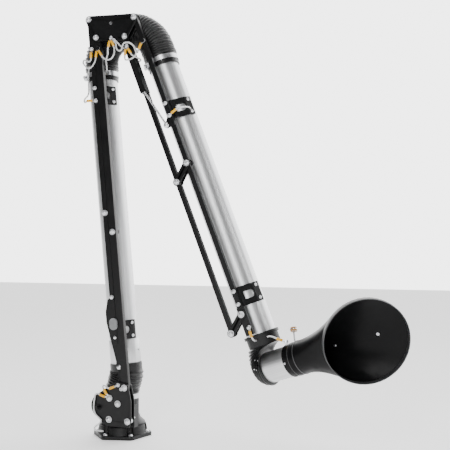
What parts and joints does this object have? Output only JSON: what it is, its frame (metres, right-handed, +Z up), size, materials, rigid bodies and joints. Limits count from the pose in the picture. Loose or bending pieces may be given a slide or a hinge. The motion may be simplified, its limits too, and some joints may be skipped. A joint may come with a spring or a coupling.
{
  "type": "fume extraction arm",
  "caption": "Floor or bench mounted extraction arm: two parallelogram links carry duct tubes and ribbed hoses to a swivelling oblique hood with a damper.",
  "frame": {"origin": "centre of the mounting flange's underside, on the duct and swivel axis", "axes": "+Z up along the swivel axis, +X in the plane of the arm towards the hood, -Y the side with the bars"},
  "size_m": [0.8506, 0.2005, 1.1054],
  "materials": {
    "black_coat": "satin",
    "hose_rubber": "satin",
    "duct_aluminium": "brushed",
    "bright_steel": "satin",
    "pad_rubber": "matte",
    "hood_plastic": "semi-gloss",
    "collar_grey": "satin",
    "ring_plastic": "matte",
    "knob_amber": "gloss",
    "chrome_rod": "polished",
    "wire_silver": "matte"
  },
  "bodies": {
    "base": {"mounting_flange": "black_coat", "flange_bolts": "bright_steel", "swivel_ring": "ring_plastic"},
    "turret": {"turret_housing": "black_coat", "front_cheek": "black_coat", "rear_cheek": "black_coat", "cheek_bolts": "bright_steel", "spring_drum": "black_coat", "base_pivot_bolts": "bright_steel", "base_clamp": "bright_steel", "base_hose": "hose_rubber", "base_jumpers": "wire_silver"},
    "lower_arm": {"carrier_bar": "black_coat", "carrier_root_plate": "black_coat", "stop_pad": "pad_rubber", "carrier_lead": "wire_silver", "lower_tube": "duct_aluminium", "lower_sleeve": "duct_aluminium", "lower_tube_ring": "hose_rubber", "lower_brackets": "black_coat", "lower_bracket_bolts": "bright_steel", "lower_clamps": "bright_steel"},
    "strut": {"strut_bar": "black_coat"},
    "lower_link": {"lower_link": "black_coat", "lower_link_bolts": "bright_steel"},
    "elbow": {"elbow_front_plate": "black_coat", "elbow_back_plate": "black_coat", "elbow_jumpers": "wire_silver", "elbow_pivot_bolts": "bright_steel", "elbow_hose_low": "hose_rubber", "elbow_hose_out": "hose_rubber"},
    "outer_arm": {"outer_beam": "black_coat", "outer_tube": "duct_aluminium", "outer_tube_ring": "hose_rubber", "outer_brackets": "black_coat", "outer_bracket_bolts": "bright_steel", "outer_clamp": "bright_steel", "pull_lug": "black_coat", "outer_jumpers": "wire_silver"},
    "outer_rod": {"outer_rod": "black_coat", "spring_box": "black_coat", "box_bolt": "bright_steel", "balance_spring": "bright_steel"},
    "slider": {"spring_slider": "bright_steel"},
    "pull_rod": {"pull_rod": "chrome_rod"},
    "mid_link": {"outer_mid_link": "black_coat", "outer_link_bolts_mid": "bright_steel"},
    "end_link": {"outer_end_link": "black_coat", "outer_link_bolts_end": "bright_steel"},
    "hood_collar": {"hood_swivel_collar": "black_coat", "hood_hose": "hose_rubber", "hood_jumpers": "wire_silver"},
    "hood": {"neck_yoke": "bright_steel", "neck_tube": "duct_aluminium", "hood_cuff": "black_coat", "hood_cone": "hood_plastic", "mouth_collar": "collar_grey"},
    "damper": {"damper_spindle": "bright_steel", "damper_knob": "knob_amber"}
  },
  "joints": [
    {"name": "turret_swivel", "type": "hinge", "parent": "base", "child": "turret", "pos_m": [0, 0, 0.03], "axis": [0, 0, 1], "range_deg": [-170, 170], "deforming": ["base_jumpers"]},
    {"name": "lower_lift", "type": "hinge", "parent": "turret", "child": "lower_arm", "pos_m": [0.017, -0.056, 0.181], "axis": [0, 1, 0], "range_deg": [0, 95], "deforming": ["base_hose"]},
    {"name": "strut_pivot", "type": "hinge", "parent": "elbow", "child": "strut", "pos_m": [-0.04534, -0.056, 1.02089], "axis": [0, 1, 0], "range_deg": [0, 95]},
    {"name": "elbow_level", "type": "hinge", "parent": "lower_arm", "child": "elbow", "pos_m": [-0.06694, -0.056, 1.06904], "axis": [0, 1, 0], "range_deg": [-95, 0], "deforming": ["elbow_hose_low"]},
    {"name": "lower_link_pivot", "type": "hinge", "parent": "lower_arm", "child": "lower_link", "pos_m": [-0.01989, -0.056, 0.57126], "axis": [0, 1, 0], "range_deg": [-95, 0]},
    {"name": "outer_lift", "type": "hinge", "parent": "elbow", "child": "outer_arm", "pos_m": [0.06134, -0.056, 1.06366], "axis": [0, -1, 0], "range_deg": [-8, 70], "deforming": ["elbow_hose_out", "elbow_jumpers"]},
    {"name": "outer_rod_pivot", "type": "hinge", "parent": "elbow", "child": "outer_rod", "pos_m": [0.03579, -0.056, 1.01749], "axis": [0, -1, 0], "range_deg": [-8, 70]},
    {"name": "mid_link_pivot", "type": "hinge", "parent": "outer_arm", "child": "mid_link", "pos_m": [0.20567, -0.056, 0.69061], "axis": [0, -1, 0], "range_deg": [-70, 8]},
    {"name": "end_link_pivot", "type": "hinge", "parent": "outer_arm", "child": "end_link", "pos_m": [0.3471, -0.056, 0.32501], "axis": [0, -1, 0], "range_deg": [-70, 8]},
    {"name": "slider_travel", "type": "slide", "parent": "outer_rod", "child": "slider", "axis": [0.3608, 0, -0.9326], "range_m": [-0.0069, 0.0595], "deforming": ["balance_spring"]},
    {"name": "pull_rod_pivot", "type": "hinge", "parent": "slider", "child": "pull_rod", "pos_m": [0.09063, -0.056, 0.87573], "axis": [0, -1, 0], "range_deg": [-0.1, 0.7]},
    {"name": "hood_swivel", "type": "hinge", "parent": "outer_arm", "child": "hood_collar", "pos_m": [0.38173, 0, 0.25907], "axis": [-0.3608, 0, 0.9326], "range_deg": [-110, 110], "deforming": ["hood_jumpers"]},
    {"name": "hood_tilt", "type": "hinge", "parent": "hood_collar", "child": "hood", "pos_m": [0.3857, 0.00688, 0.18797], "axis": [0.2789, 0.9542, 0.1079], "range_deg": [-6, 75], "deforming": ["hood_hose"]},
    {"name": "damper_turn", "type": "hinge", "parent": "hood", "child": "damper", "pos_m": [0.47227, -0.02213, 0.22074], "axis": [-0.2174, 0.3709, 0.9028], "range_deg": [0, 90]}
  ],
  "couplings": [
    {"joint": "strut_pivot", "follows": "lower_lift", "ratio": 1},
    {"joint": "elbow_level", "follows": "lower_lift", "ratio": -1},
    {"joint": "lower_link_pivot", "follows": "lower_lift", "ratio": -1},
    {"joint": "outer_rod_pivot", "follows": "outer_lift", "ratio": 1},
    {"joint": "mid_link_pivot", "follows": "outer_lift", "ratio": -1},
    {"joint": "end_link_pivot", "follows": "outer_lift", "ratio": -1},
    {"joint": "slider_travel", "follows": "outer_lift", "m_per_rad": 0.0486},
    {"joint": "pull_rod_pivot", "follows": "outer_lift", "ratio": 0.0094}
  ]
}
